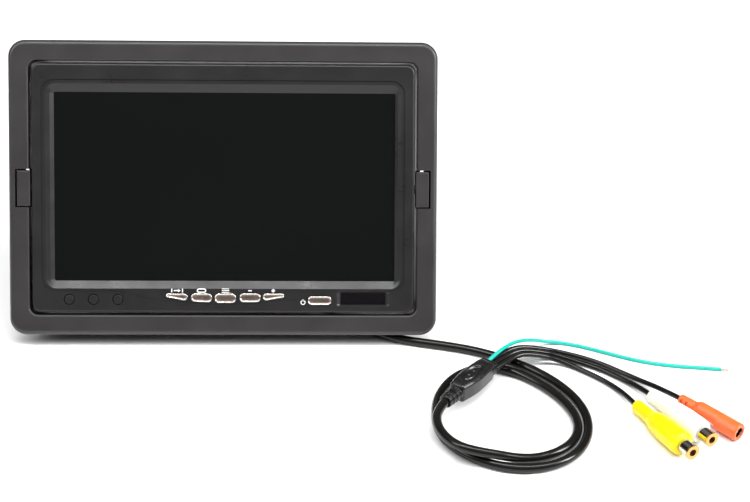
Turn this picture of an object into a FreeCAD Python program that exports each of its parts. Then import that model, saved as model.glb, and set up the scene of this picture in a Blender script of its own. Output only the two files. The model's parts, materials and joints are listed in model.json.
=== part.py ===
import FreeCAD, Part
import math
import os

# Rear-view monitor in a flush-mounting surround, with its lead, splitter and three sockets.
# Row frame: origin at the centre of the surround's rear rim, +X right, +Y away from the viewer,
# +Z up. The panel parts are made upright in the panel frame (same origin, front towards -Y)
# and then leaned back about X. Millimetres.

Vec = FreeCAD.Vector

LEAN_DEG = 27.0                 # how far the panel leans back
LEAN = math.radians(LEAN_DEG)

# surround
SURROUND_W, SURROUND_H, SURROUND_R = 250.0, 172.0, 10.0
OPENING_W, OPENING_H, OPENING_R = 226.4, 148.4, 5.0
DEPTH = 38.0                    # front face to rear rim
FRONT = -DEPTH
FLANGE_T = 3.5
WALL_T = 2.4
LIP_W, LIP_T = 3.6, 1.5         # lip round the inside of the rear rim
BOSS_X, BOSS_Z, BOSS_R = 119.2, 60.0, 3.8
PILOT_R, PILOT_DEPTH = 1.5, 14.0
CABLE_NOTCH = (50.0, 88.0, 20.0)    # from x, to x, how far in from the rim

# pivot clips
PIVOT_Y = FRONT + 6.0
PIN_R, PIN_TIP_X = 2.5, 107.6
NOTCH_IN, NOTCH_OUT, NOTCH_HALF = 112.4, 121.1, 11.1
CLIP_IN, CLIP_OUT, CLIP_LOW, CLIP_TOP = 112.5, 120.1, -10.5, 10.2
LEDGE_Y, LEDGE_T = -20.0, 3.0
CLIP_SCREW_X, CLIP_SCREW_Z = 117.9, 4.5

# monitor housing
CASE_W, CASE_H, CASE_R = 223.2, 145.2, 5.0
CASE_SPLIT = FRONT + 14.0       # front bezel meets back cover
CASE_REAR = FRONT + 28.0
FACE_T = 3.0
CASE_WALL = 2.4
POST_X, POST_Z = 104.0, 66.5

# screen
SCREEN_X, SCREEN_Z = 0.7, 0.9
SCREEN_W, SCREEN_H = 199.0, 110.2
GLASS_W, GLASS_H = 203.5, 115.4

# front details: two circles (x, z, r) whose hull is the button's outline
BUTTONS = {
    "source_button": ((-32.7, -62.5, 1.1), (-23.2, -63.4, 1.95)),
    "flip_button": ((-16.7, -63.7, 2.45), (-9.3, -63.9, 2.6)),
    "menu_button": ((-2.6, -64.1, 2.75), (4.6, -64.1, 2.75)),
    "minus_button": ((11.8, -63.8, 2.6), (19.1, -63.8, 2.55)),
    "plus_button": ((24.9, -63.3, 1.95), (34.3, -62.5, 1.15)),
    "power_button": ((51.7, -65.4, 2.5), (60.7, -65.4, 2.5)),
}
BUTTON_GAP = 0.35
BUTTON_PROUD = 0.6
PLUG_CENTRES = ((-90.1, -65.0), (-76.1, -65.0), (-61.8, -65.0))
PLUG_R, PLUG_HOLE_R = 2.65, 3.25
IR_X, IR_Z, IR_W, IR_H = 81.8, -64.4, 26.2, 6.7
IR_RECESS_W, IR_RECESS_H = 31.0, 9.0

# lead and its gland
LEAD_R, BRANCH_R, WIRE_R, TIP_R = 2.6, 1.5, 1.1, 0.75
GLAND_X, GLAND_Y, GLAND_TOP, GLAND_END = 56.0, -5.4, -8.0, -38.0

# splitter: centre in plan, heading, height of its middle above the floor
SPLIT_X, SPLIT_Y, SPLIT_H = 141.2, -123.0, 11.0
SPLIT_HEADING = math.radians(51.5)
SPLIT_TAIL, SPLIT_NECK = -24.5, 20.5

FLOOR = -(OPENING_H / 2 + WALL_T) * math.cos(LEAN)   # the rim's bottom corner stands on it


# ---------------------------------------------------------------- basic shapes

def rounded_rect(width, height, radius, y, cx=0.0, cz=0.0):
    """Closed wire in the plane y, corners rounded."""
    a, b, k = width / 2, height / 2, radius * (1 - math.sqrt(0.5))
    edges = []
    corners = ((1, 1), (-1, 1), (-1, -1), (1, -1))
    for i, (sx, sz) in enumerate(corners):
        side = Vec(cx + sx * a, y, cz + sz * (b - radius))
        mid = Vec(cx + sx * (a - k), y, cz + sz * (b - k))
        flat = Vec(cx + sx * (a - radius), y, cz + sz * b)
        first, last = (side, flat) if i % 2 == 0 else (flat, side)
        edges.append(Part.Arc(first, mid, last).toShape())
        nx, nz = corners[(i + 1) % 4]
        if i % 2 == 0:
            after = Vec(cx + nx * (a - radius), y, cz + nz * b)
        else:
            after = Vec(cx + nx * a, y, cz + nz * (b - radius))
        edges.append(Part.LineSegment(last, after).toShape())
    return Part.Wire(edges)


def prism(wire, depth):
    return Part.Face(wire).extrude(Vec(0, depth, 0))


def slab(width, height, radius, y0, y1, cx=0.0, cz=0.0):
    return prism(rounded_rect(width, height, radius, y0, cx, cz), y1 - y0)


def taper(first, second):
    return Part.makeLoft([first, second], True, True)


def block(x0, x1, y0, y1, z0, z1):
    return Part.makeBox(x1 - x0, y1 - y0, z1 - z0, Vec(x0, y0, z0))


def rod_y(x, z, radius, y0, y1):
    return Part.makeCylinder(radius, y1 - y0, Vec(x, y0, z), Vec(0, 1, 0))


def pill(ends, grow, y):
    """Hull of two circles as a wire in the plane y."""
    (x0, z0, r0), (x1, z1, r1) = ends
    r0, r1 = r0 + grow, r1 + grow
    d = math.hypot(x1 - x0, z1 - z0)
    e = Vec((x1 - x0) / d, 0, (z1 - z0) / d)
    f = Vec(-e.z, 0, e.x)
    c = (r0 - r1) / d
    s = math.sqrt(1 - c * c)
    a, b = Vec(x0, y, z0), Vec(x1, y, z1)
    up, down = e * c + f * s, e * c - f * s
    top = Part.LineSegment(a + up * r0, b + up * r1).toShape()
    right = Part.Arc(b + up * r1, b + e * r1, b + down * r1).toShape()
    bottom = Part.LineSegment(b + down * r1, a + down * r0).toShape()
    left = Part.Arc(a + down * r0, a - e * r0, a + up * r0).toShape()
    return Part.Wire([top, right, bottom, left])


def edges_at(shape, y, min_x=0.0, max_x=1e6):
    """Edges lying in the plane y whose farthest point from x = 0 is between the limits."""
    found = []
    for edge in shape.Edges:
        box = edge.BoundBox
        reach = max(abs(box.XMin), abs(box.XMax))
        if abs(box.YMin - y) < 1e-4 and abs(box.YMax - y) < 1e-4 and min_x <= reach <= max_x:
            found.append(edge)
    return found


def group(shapes):
    return Part.makeCompound(shapes)


# ---------------------------------------------------------------- surround and clips

def mirrored(shape):
    return shape.mirror(Vec(0, 0, 0), Vec(1, 0, 0))


def surround_frame():
    flange = slab(SURROUND_W, SURROUND_H, SURROUND_R, FRONT, FRONT + FLANGE_T)
    flange = flange.makeFillet(3.0, edges_at(flange, FRONT))
    wall = slab(OPENING_W + 2 * WALL_T, OPENING_H + 2 * WALL_T, OPENING_R + WALL_T,
                FRONT + 1.0, 0.0)
    body = flange.fuse(wall)
    boss_top = FRONT + FLANGE_T - 0.5
    for sx in (-1, 1):
        for sz in (-1, 1):
            body = body.fuse(rod_y(sx * BOSS_X, sz * BOSS_Z, BOSS_R, boss_top, 0.0))
    pocket = block(113.3, 123.4, FRONT + 1.0, LEDGE_Y + LEDGE_T, -13.6, 13.6)
    body = body.fuse(pocket).fuse(mirrored(pocket))
    opening = slab(OPENING_W, OPENING_H, OPENING_R, FRONT - 1, -LIP_T)
    mouth = slab(OPENING_W - 2 * LIP_W, OPENING_H - 2 * LIP_W, OPENING_R, -LIP_T - 1, 1.0)
    body = body.fuse(slab(OPENING_W + 1, OPENING_H + 1, OPENING_R, -LIP_T, 0.0))
    body = body.cut([opening, mouth])
    notch = block(NOTCH_IN - 1.0, NOTCH_OUT, FRONT - 1, LEDGE_Y, -NOTCH_HALF, NOTCH_HALF)
    tools = [notch, mirrored(notch)]
    slot = block(115.9, 118.0, LEDGE_Y - 1, LEDGE_Y + LEDGE_T + 1, CLIP_TOP - 1.0, NOTCH_HALF)
    tools += [slot, mirrored(slot)]
    for sx in (-1, 1):
        for sz in (-1, 1):
            tools.append(rod_y(sx * BOSS_X, sz * BOSS_Z, PILOT_R, -PILOT_DEPTH, 1.0))
            tools.append(rod_y(sx * CLIP_SCREW_X, sz * CLIP_SCREW_Z, 1.25,
                               LEDGE_Y - 1, LEDGE_Y + LEDGE_T + 1))
    x0, x1, depth = CABLE_NOTCH
    tools.append(block(x0, x1, -depth, 1.0, -OPENING_H / 2 - WALL_T - 1, -OPENING_H / 2 + LIP_W + 1))
    body = body.cut(tools)
    inner = edges_at(body, FRONT, OPENING_W / 2 - 6, OPENING_W / 2 + 1)
    return body.makeFillet(1.1, [e for e in inner if e.Length > 4.5])


def pivot_clip():
    body = block(CLIP_IN, CLIP_OUT, FRONT, LEDGE_Y, CLIP_LOW, CLIP_TOP)
    body = body.makeFillet(0.6, edges_at(body, FRONT))
    pin = Part.makeCylinder(PIN_R, CLIP_IN - PIN_TIP_X + 2, Vec(PIN_TIP_X, PIVOT_Y, 0), Vec(1, 0, 0))
    tip = [e for e in pin.Edges if abs(e.BoundBox.XMax - PIN_TIP_X) < 1e-4]
    pin = pin.makeChamfer(0.5, tip)
    body = body.fuse(pin)
    holes = [rod_y(CLIP_SCREW_X, sz * CLIP_SCREW_Z, 1.1, LEDGE_Y - 7, LEDGE_Y + 1) for sz in (-1, 1)]
    return body.cut(holes)


def pan_screw(x, z, shank_r, head_r, head_y, head_t, length):
    """Screw driven towards -Y, its head seated at head_y, with a cross recess."""
    shank = rod_y(x, z, shank_r, head_y - length, head_y)
    head = rod_y(x, z, head_r, head_y, head_y + head_t)
    head = head.makeFillet(head_t * 0.45, edges_at(head, head_y + head_t))
    arm, wide, deep = head_r * 0.6, head_r * 0.14, head_t * 0.55
    cross = [block(x - arm, x + arm, head_y + head_t - deep, head_y + head_t + 1, z - wide, z + wide),
             block(x - wide, x + wide, head_y + head_t - deep, head_y + head_t + 1, z - arm, z + arm)]
    return shank.fuse(head).cut(cross)


def clip_screws():
    return group([pan_screw(sx * CLIP_SCREW_X, sz * CLIP_SCREW_Z, 1.1, 2.1, LEDGE_Y + LEDGE_T, 1.5, 9.5)
                  for sx in (-1, 1) for sz in (-1, 1)])


# ---------------------------------------------------------------- monitor housing

def screen_surround_cut():
    """Stepped frame round the screen: shallow step, then two slopes down to the glass."""
    step = slab(211.8, 123.6, 8.0, FRONT - 1, FRONT + 0.5, 0, 1.5)
    outer = rounded_rect(207.2, 119.5, 6.0, FRONT + 0.5, 0, 1.15)
    middle = rounded_rect(202.8, 115.2, 3.5, FRONT + 1.6, 0.3, 1.0)
    inner = rounded_rect(SCREEN_W, SCREEN_H, 0.9, FRONT + FACE_T, SCREEN_X, SCREEN_Z)
    through = slab(SCREEN_W, SCREEN_H, 0.9, FRONT + FACE_T - 0.01, FRONT + FACE_T + 1,
                   SCREEN_X, SCREEN_Z)
    return [step, taper(outer, middle), taper(middle, inner), through]


def control_dip():
    """Shallow lens-shaped hollow under the button row."""
    y = FRONT - 1
    left, low, right = Vec(-63, y, -60), Vec(1.3, y, -68.6), Vec(65.5, y, -60)
    rim = Part.Arc(right, low, left).toShape()
    top_left, top_right = Vec(-63, y, -58), Vec(65.5, y, -58)
    sides = [Part.LineSegment(left, top_left).toShape(),
             Part.LineSegment(top_left, top_right).toShape(),
             Part.LineSegment(top_right, right).toShape()]
    return prism(Part.Wire([rim] + sides), 1.3)


def front_bezel():
    body = slab(CASE_W, CASE_H, CASE_R, FRONT, CASE_SPLIT)
    body = body.makeFillet(1.4, edges_at(body, FRONT))
    inner_w, inner_h = CASE_W - 2 * CASE_WALL, CASE_H - 2 * CASE_WALL
    body = body.cut(slab(inner_w, inner_h, 3.0, FRONT + FACE_T, CASE_SPLIT + 1))
    adds = []
    for sx in (-1, 1):
        for sz in (-1, 1):
            adds.append(rod_y(sx * POST_X, sz * POST_Z, 3.6, FRONT + FACE_T - 0.2, CASE_SPLIT))
    for x in (-38.0, 42.5):
        adds.append(rod_y(x, -64.6, 2.2, FRONT + FACE_T - 0.2, FRONT + 9.6))
    socket = Part.makeCylinder(5.0, 4.2, Vec(105.2, PIVOT_Y, 0), Vec(1, 0, 0))
    adds += [socket, mirrored(socket)]
    body = body.fuse(adds)
    tools = screen_surround_cut() + [control_dip()]
    for ends in BUTTONS.values():
        tools.append(prism(pill(ends, BUTTON_GAP, FRONT - 1), FACE_T + 2))
    for x, z in PLUG_CENTRES:
        tools.append(rod_y(x, z, PLUG_HOLE_R, FRONT - 1, FRONT + FACE_T + 1))
    recess_front = rounded_rect(IR_RECESS_W, IR_RECESS_H, 1.6, FRONT - 0.01, IR_X, IR_Z)
    recess_floor = rounded_rect(IR_W + 1.4, IR_H + 1.0, 1.0, FRONT + 1.1, IR_X, IR_Z)
    tools.append(taper(recess_front, recess_floor))
    tools.append(slab(IR_W, IR_H, 0.6, FRONT, FRONT + FACE_T + 1, IR_X, IR_Z))
    for sx in (-1, 1):
        for sz in (-1, 1):
            tools.append(rod_y(sx * POST_X, sz * POST_Z, 1.3, FRONT + 5, CASE_SPLIT + 1))
    for x in (-38.0, 42.5):
        tools.append(rod_y(x, -64.6, 0.9, FRONT + 4.5, FRONT + 11))
    bore = Part.makeCylinder(PIN_R + 0.05, 6.0, Vec(107.2, PIVOT_Y, 0), Vec(1, 0, 0))
    tools += [bore, mirrored(bore)]
    return body.cut(tools)


def back_cover():
    step = CASE_SPLIT + 4.0
    rim = slab(CASE_W, CASE_H, CASE_R, CASE_SPLIT, step)
    hood = taper(rounded_rect(CASE_W, CASE_H, CASE_R, step),
                 rounded_rect(205.0, 128.0, 9.0, CASE_REAR))
    outer = rim.fuse(hood).removeSplitter()
    outer = outer.makeFillet(2.0, edges_at(outer, CASE_REAR))
    inner = slab(218.8, 140.8, 3.4, CASE_SPLIT - 1, step).fuse(
        taper(rounded_rect(218.8, 140.8, 3.4, step), rounded_rect(201.0, 124.0, 7.0, CASE_REAR - 2.2)))
    body = outer.cut(inner)
    for sx in (-1, 1):
        for sz in (-1, 1):
            post = rod_y(sx * POST_X, sz * POST_Z, 4.4, CASE_SPLIT, CASE_REAR)
            body = body.fuse(post.common(outer))
    tools = []
    for sx in (-1, 1):
        for sz in (-1, 1):
            tools.append(rod_y(sx * POST_X, sz * POST_Z, 1.6, CASE_SPLIT - 1, CASE_REAR + 1))
            tools.append(rod_y(sx * POST_X, sz * POST_Z, 2.9, CASE_SPLIT + 4.5, CASE_REAR + 1))
    for row, z in enumerate((26.0, 44.0)):
        for i in range(17):
            x = (i - 8) * 7.0
            tools.append(slab(2.2, 12.0, 1.0, CASE_REAR - 4, CASE_REAR + 1, x, z))
    tools.append(rod_y(GLAND_X, GLAND_TOP - 7, 2.6, CASE_REAR - 4, CASE_REAR + 1))
    return body.cut(tools)


def housing_screws():
    return group([pan_screw(sx * POST_X, sz * POST_Z, 1.3, 2.6, CASE_SPLIT + 4.5, 2.0, 13.0)
                  for sx in (-1, 1) for sz in (-1, 1)])


# ---------------------------------------------------------------- monitor insides

def plate(width, height, y0, y1, cx=SCREEN_X, cz=SCREEN_Z, radius=0.8):
    return slab(width, height, radius, y0, y1, cx, cz)


def lcd_chassis():
    tray = plate(207.4, 119.6, FRONT + 3.1, FRONT + 10.0)
    tray = tray.cut(plate(205.6, 117.8, FRONT + 2.0, FRONT + 9.0))
    holes = [rod_y(SCREEN_X + sx * 66, SCREEN_Z + sz * 38, 1.0, FRONT + 8, FRONT + 11)
             for sx in (-1, 1) for sz in (-1, 1)]
    return tray.cut(holes)


BOARD_Y = FRONT + 13.5


def standoffs():
    parts = []
    for sx in (-1, 1):
        for sz in (-1, 1):
            x, z = SCREEN_X + sx * 66, SCREEN_Z + sz * 38
            ring = rod_y(x, z, 2.6, FRONT + 10.0, BOARD_Y)
            parts.append(ring.cut(rod_y(x, z, 1.0, FRONT + 9, BOARD_Y + 1)))
    return group(parts)


def main_board():
    board = plate(146, 90, BOARD_Y, BOARD_Y + 1.6, radius=1.5)
    holes = [rod_y(SCREEN_X + sx * 66, SCREEN_Z + sz * 38, 1.1, BOARD_Y - 1, BOARD_Y + 3)
             for sx in (-1, 1) for sz in (-1, 1)]
    return board.cut(holes)


def board_screws():
    return group([pan_screw(SCREEN_X + sx * 66, SCREEN_Z + sz * 38, 1.0, 2.1, BOARD_Y + 1.6, 1.5, 5.5)
                  for sx in (-1, 1) for sz in (-1, 1)])


def board_components():
    top = BOARD_Y + 1.6
    chips = [block(-14, 0, top, top + 1.4, -6, 8), block(14, 24, top, top + 1.2, -2, 8),
             block(-46, -38, top, top + 1.2, 4, 10), block(-30, -18, top, top + 4.5, -30, -18),
             block(-20, 20, top, top + 2.4, 36, 41), block(2, 44, top, top + 2.6, -41, -36)]
    for x, z in ((-54, -14), (-54, -26), (38, 22), (50, 22)):
        chips.append(rod_y(x, z, 3.2, top, top + 7.0))
    for i in range(6):
        chips.append(block(-10 + i * 5, -8 + i * 5, top, top + 0.8, -16, -12.5))
    return group(chips)


def inner_lead_plug():
    top = BOARD_Y + 1.6
    x, z = GLAND_X, GLAND_TOP - 7
    return group([block(x - 6, x + 6, top, top + 5.4, z - 4, z + 4),
                  rod_y(x, z, 2.0, top + 5.4, CASE_REAR - 2.4)])


def key_board():
    board = block(-43, 96, FRONT + 9.6, FRONT + 10.8, -69.6, -60.4)
    holes = [rod_y(x, -64.6, 1.0, FRONT + 9, FRONT + 12) for x in (-38.0, 42.5)]
    return board.cut(holes)


def key_board_screws():
    return group([pan_screw(x, -64.6, 0.9, 1.9, FRONT + 10.8, 1.3, 5.5) for x in (-38.0, 42.5)])


def button_middle(ends):
    (x0, z0, _), (x1, z1, _) = ends
    return (x0 + x1) / 2, (z0 + z1) / 2


def key_switches():
    parts = []
    for ends in BUTTONS.values():
        x, z = button_middle(ends)
        body = block(x - 3, x + 3, FRONT + 6.9, FRONT + 9.6, z - 2.2, z + 2.2)
        parts.append(body.fuse(rod_y(x, z, 0.9, FRONT + 6.2, FRONT + 7.0)))
    return group(parts)


def display_ribbon():
    """Flat flexible cable from the back of the display to the board's top edge."""
    lift = FRONT + 10.0
    strip = [(lift + 0.05, 57), (lift + 0.05, 51), (BOARD_Y - 0.35, 45.4), (BOARD_Y - 0.35, 38)]
    outline = [Vec(-15, y, z) for y, z in strip]
    outline += [Vec(-15, y + 0.3, z + 0.12) for y, z in reversed(strip)]
    return Part.Face(Part.makePolygon(outline + [outline[0]])).extrude(Vec(30, 0, 0))


def ir_window():
    tile = slab(IR_W - 0.2, IR_H - 0.2, 0.5, FRONT + 0.9, FRONT + FACE_T, IR_X, IR_Z)
    flange = slab(IR_W + 2.4, IR_H + 2.0, 0.5, FRONT + FACE_T, FRONT + FACE_T + 0.8, IR_X, IR_Z)
    return tile.fuse(flange)


def ir_receiver():
    body = block(IR_X - 3, IR_X + 3, FRONT + 6.6, FRONT + 9.6, IR_Z - 3, IR_Z + 3)
    dome = Part.makeSphere(2.0, Vec(IR_X, FRONT + 6.6, IR_Z))
    return body.fuse(dome)


def blank_plugs():
    parts = []
    for x, z in PLUG_CENTRES:
        cap = rod_y(x, z, PLUG_R, FRONT + 0.05, FRONT + 1.6)
        cap = cap.makeFillet(0.35, edges_at(cap, FRONT + 0.05))
        body = rod_y(x, z, PLUG_HOLE_R - 0.05, FRONT + 0.9, FRONT + FACE_T)
        flange = rod_y(x, z, PLUG_HOLE_R + 0.9, FRONT + FACE_T, FRONT + FACE_T + 0.8)
        parts.append(cap.fuse(body).fuse(flange))
    return group(parts)


def button(ends):
    top = FRONT - BUTTON_PROUD
    cap = prism(pill(ends, 0.0, top), FACE_T + BUTTON_PROUD + 0.2)
    cap = cap.makeFillet(0.28, edges_at(cap, top))
    dish = prism(pill(ends, -0.62, top - 1), 1.3)
    flange = prism(pill(ends, 0.5, FRONT + FACE_T + 0.2), 0.9)
    x, z = button_middle(ends)
    stem = rod_y(x, z, 1.0, FRONT + FACE_T + 1.0, FRONT + 5.4)
    return cap.cut(dish).fuse(flange).fuse(stem)


# ---------------------------------------------------------------- gland, lead and splitter

def lead_strain_relief():
    """Moulded hood on the back cover with a ribbed tapering sleeve that points down the panel."""
    mid = (GLAND_TOP - 7)
    hood = slab(13.0, 15.0, 3.0, CASE_REAR, -1.2, GLAND_X, mid)
    hood = hood.makeFillet(1.6, edges_at(hood, -1.2))
    sleeve = Part.makeCone(4.1, 3.2, mid - 6 - GLAND_END, Vec(GLAND_X, GLAND_Y, mid - 6), Vec(0, 0, -1))
    grooves = []
    for i in range(4):
        z = GLAND_END + 3.0 + i * 3.0
        ring = Part.makeCylinder(6.0, 1.2, Vec(GLAND_X, GLAND_Y, z), Vec(0, 0, 1))
        core = Part.makeCylinder(2.75 + 0.08 * i, 1.2, Vec(GLAND_X, GLAND_Y, z), Vec(0, 0, 1))
        grooves.append(ring.cut(core))
    stub = rod_y(GLAND_X, mid, 2.55, CASE_REAR - 2.4, CASE_REAR + 0.5)
    return hood.fuse([sleeve.cut(grooves), stub])


def lean_point(x, y, z):
    c, s = math.cos(LEAN), math.sin(LEAN)
    return Vec(x, y * c + z * s, -y * s + z * c)


def floor_points(route):
    """Route points given as x, y, height above the floor."""
    return [Vec(x, y, FLOOR + h) for x, y, h in route]


def tube(name, points, radius):
    """Round tube along straight runs joined by tangent arcs."""
    edges = []
    start = points[0]
    radii = []
    for before, corner, after in zip(points, points[1:], points[2:]):
        run_in, run_out = corner - before, after - corner
        reach = 0.45 * min(run_in.Length, run_out.Length)
        turn = run_in.getAngle(run_out)
        bend = reach / math.tan(turn / 2)
        radii.append(bend)
        d_in, d_out = Vec(run_in).normalize(), Vec(run_out).normalize()
        first, last = corner - d_in * reach, corner + d_out * reach
        centre = corner + (d_out - d_in).normalize() * (bend / math.cos(turn / 2))
        middle = centre + (corner - centre).normalize() * bend
        edges.append(Part.LineSegment(start, first).toShape())
        edges.append(Part.Arc(first, middle, last).toShape())
        start = last
    edges.append(Part.LineSegment(start, points[-1]).toShape())
    path = Part.Wire(edges)
    ring = Part.Wire([Part.makeCircle(radius, points[0], points[1] - points[0])])
    solid = path.makePipeShell([ring], True, False)
    share = solid.Volume / (math.pi * radius ** 2 * path.Length)
    print(f"{name}: length {path.Length:.0f}, smallest bend {min(radii):.1f} "
          f"({min(radii) / (2 * radius):.1f} dia), volume share {share:.3f}, valid {solid.isValid()}")
    return solid


# The lead leaves the gland down the panel, bends on to the floor and goes out by the cable notch.
FLEX_ROUTE = ((56.6, -28.9, 24.2), (60.0, -35.2, 13.0), (67.0, -42.5, 5.6))
FLEX_END = (72.0, -46.6, 4.1)

MAIN_ROUTE = (
    FLEX_END,
    (79.5, -52.8, 2.6), (91.5, -61.3, 2.6), (105.0, -67.8, 2.6), (121.0, -71.8, 2.6),
    (136.5, -75.6, 2.6), (150.5, -80.5, 2.6), (162.3, -86.8, 2.6), (173.2, -93.6, 2.6),
    (184.2, -102.9, 2.6), (194.0, -114.6, 2.6), (201.2, -127.6, 2.6), (205.0, -141.0, 2.6),
    (205.1, -155.0, 2.6), (201.5, -167.9, 2.6), (194.7, -178.9, 2.6), (184.6, -186.9, 2.6),
    (172.3, -191.0, 2.6), (158.5, -190.8, 2.6), (145.2, -186.0, 2.6), (133.3, -177.6, 2.6),
    (124.8, -166.6, 2.6), (121.0, -153.8, 2.6), (121.0, -140.4, 2.6), (122.7, -127.6, 2.6),
    (127.6, -115.4, 2.6), (135.2, -104.8, 2.6), (146.4, -97.6, 2.6), (159.4, -96.9, 2.6),
    (170.9, -102.4, 2.6), (181.0, -111.4, 2.6), (189.4, -121.8, 2.6), (195.6, -133.2, 2.6),
    (199.2, -145.4, 2.6), (198.8, -158.0, 2.6), (193.6, -169.4, 2.6), (184.0, -177.8, 2.6),
    (173.2, -182.2, 2.6),
    (162.2, -184.7, 4.6), (151.4, -186.1, 8.0), (140.8, -185.6, 9.8), (131.0, -181.2, 9.8),
    (124.0, -172.4, 9.6), (120.2, -161.8, 9.8), (120.7, -151.0, 10.7), (125.95, -142.17, 11.0))

POWER_ROUTE = (
    (156.2, -99.8, 10.3), (161.4, -94.4, 10.4), (166.8, -89.6, 10.4), (173.2, -86.2, 9.8),
    (181.4, -83.6, 7.6), (190.2, -81.2, 4.6), (199.6, -80.8, 2.2), (210.0, -84.6, 1.5),
    (220.5, -90.8, 1.5), (231.0, -99.6, 1.5), (241.4, -109.9, 2.4), (250.6, -120.6, 4.6))
WHITE_ROUTE = (
    (158.7, -102.1, 10.3), (163.9, -96.7, 10.4), (168.8, -92.5, 10.3), (174.5, -89.5, 9.7),
    (182.3, -87.1, 7.5), (190.9, -85.0, 4.5), (200.2, -86.2, 2.2), (210.4, -91.0, 1.5),
    (220.6, -97.4, 1.5), (230.2, -106.1, 1.5), (238.6, -115.4, 2.3))
YELLOW_ROUTE = (
    (161.3, -104.5, 10.3), (166.5, -99.1, 10.4), (170.9, -95.4, 10.2), (176.2, -92.8, 9.4),
    (183.8, -90.6, 7.1), (192.0, -89.2, 4.1), (200.8, -91.6, 1.9), (209.2, -98.2, 1.5),
    (217.9, -106.0, 1.5), (225.8, -115.2, 1.5), (230.9, -125.4, 2.6))
WIRE_ROUTE = (
    (157.2, -100.4, 14.1), (162.2, -94.2, 14.2), (168.4, -86.9, 13.2), (175.2, -80.0, 10.4),
    (182.0, -74.2, 6.8), (189.4, -69.8, 3.0), (198.6, -68.2, 1.1), (210.6, -72.0, 1.1),
    (223.0, -77.9, 1.1), (236.0, -84.4, 1.1), (250.5, -90.1, 1.1), (266.0, -93.2, 1.1),
    (280.0, -94.8, 1.1))
WIRE_END = (290.5, -96.2, 1.1)


def split_place(shape):
    """From the splitter's own frame (u along it, v across, w up) to the row frame."""
    shape.rotate(Vec(0, 0, 0), Vec(0, 0, 1), math.degrees(SPLIT_HEADING))
    shape.translate(Vec(SPLIT_X, SPLIT_Y, FLOOR + SPLIT_H))
    return shape


def split_point(u, v, w):
    c, s = math.cos(SPLIT_HEADING), math.sin(SPLIT_HEADING)
    return Vec(SPLIT_X + u * c - v * s, SPLIT_Y + u * s + v * c, FLOOR + SPLIT_H + w)


def lead_splitter():
    half = ((-13.6, 4.7), (-5.0, 6.2), (1.0, 6.6), (7.0, 6.3), (15.4, 5.6), (17.6, 4.6))
    outline = [Vec(u, v, -5.3) for u, v in half] + [Vec(u, -v, -5.3) for u, v in reversed(half)]
    body = Part.Face(Part.makePolygon(outline + [outline[0]])).extrude(Vec(0, 0, 10.6))
    rims = [e for e in body.Edges if abs(e.BoundBox.ZMax - e.BoundBox.ZMin) < 1e-4]
    body = body.makeChamfer(1.6, rims)
    tail = Part.makeCone(3.9, 4.5, 12.5, Vec(SPLIT_TAIL, 0, 0), Vec(1, 0, 0))
    grooves = []
    for i in range(3):
        u = SPLIT_TAIL + 2.2 + i * 3.2
        ring = Part.makeCylinder(6.0, 1.2, Vec(u, 0, 0), Vec(1, 0, 0))
        grooves.append(ring.cut(Part.makeCylinder(3.3, 1.2, Vec(u, 0, 0), Vec(1, 0, 0))))
    neck = Part.makeBox(SPLIT_NECK - 16.0, 10.4, 7.4, Vec(16.0, -5.2, -3.2))
    neck = neck.makeFillet(1.2, [e for e in neck.Edges if abs(e.BoundBox.XMax - e.BoundBox.XMin) > 1])
    dimple = Part.makeCylinder(3.0, 1.0, Vec(1.0, 0, 4.9))
    return split_place(body.fuse([tail.cut(grooves), neck]).cut(dimple))


# ---------------------------------------------------------------- sockets

def turned(profile):
    """Solid of revolution about X from (s, r) points."""
    points = [Vec(s, 0, r) for s, r in profile]
    points = [Vec(profile[0][0], 0, 0)] + points + [Vec(profile[-1][0], 0, 0)]
    face = Part.Face(Part.makePolygon(points + [points[0]]))
    return face.revolve(Vec(0, 0, 0), Vec(1, 0, 0), 360)


# pitch in degrees: the RCA boots' tails hang lower than their mouths, the power socket's is raised
SOCKET_PITCH = {"yellow": 3.96, "white": 3.96, "power": -1.8}
SOCKETS = {
    # x, y, height of the tail's end, heading in plan
    "yellow": (234.0, -136.1, 4.2, math.radians(-65.1)),
    "white": (244.0, -126.1, 4.2, math.radians(-62.0)),
    "power": (259.3, -133.0, 6.6, math.radians(-48.2)),
}


def socket_place(shape, which):
    x, y, h, heading = SOCKETS[which]
    shape.rotate(Vec(0, 0, 0), Vec(0, 1, 0), -SOCKET_PITCH[which])
    shape.rotate(Vec(0, 0, 0), Vec(0, 0, 1), math.degrees(heading))
    shape.translate(Vec(x, y, FLOOR + h))
    return shape


def tail_point(which):
    x, y, h, _ = SOCKETS[which]
    return Vec(x, y, FLOOR + h)


RCA_BOOT, RCA_SHELL, RCA_RING = 45.0, 7.4, 1.1
DC_LENGTH = 40.7


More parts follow.
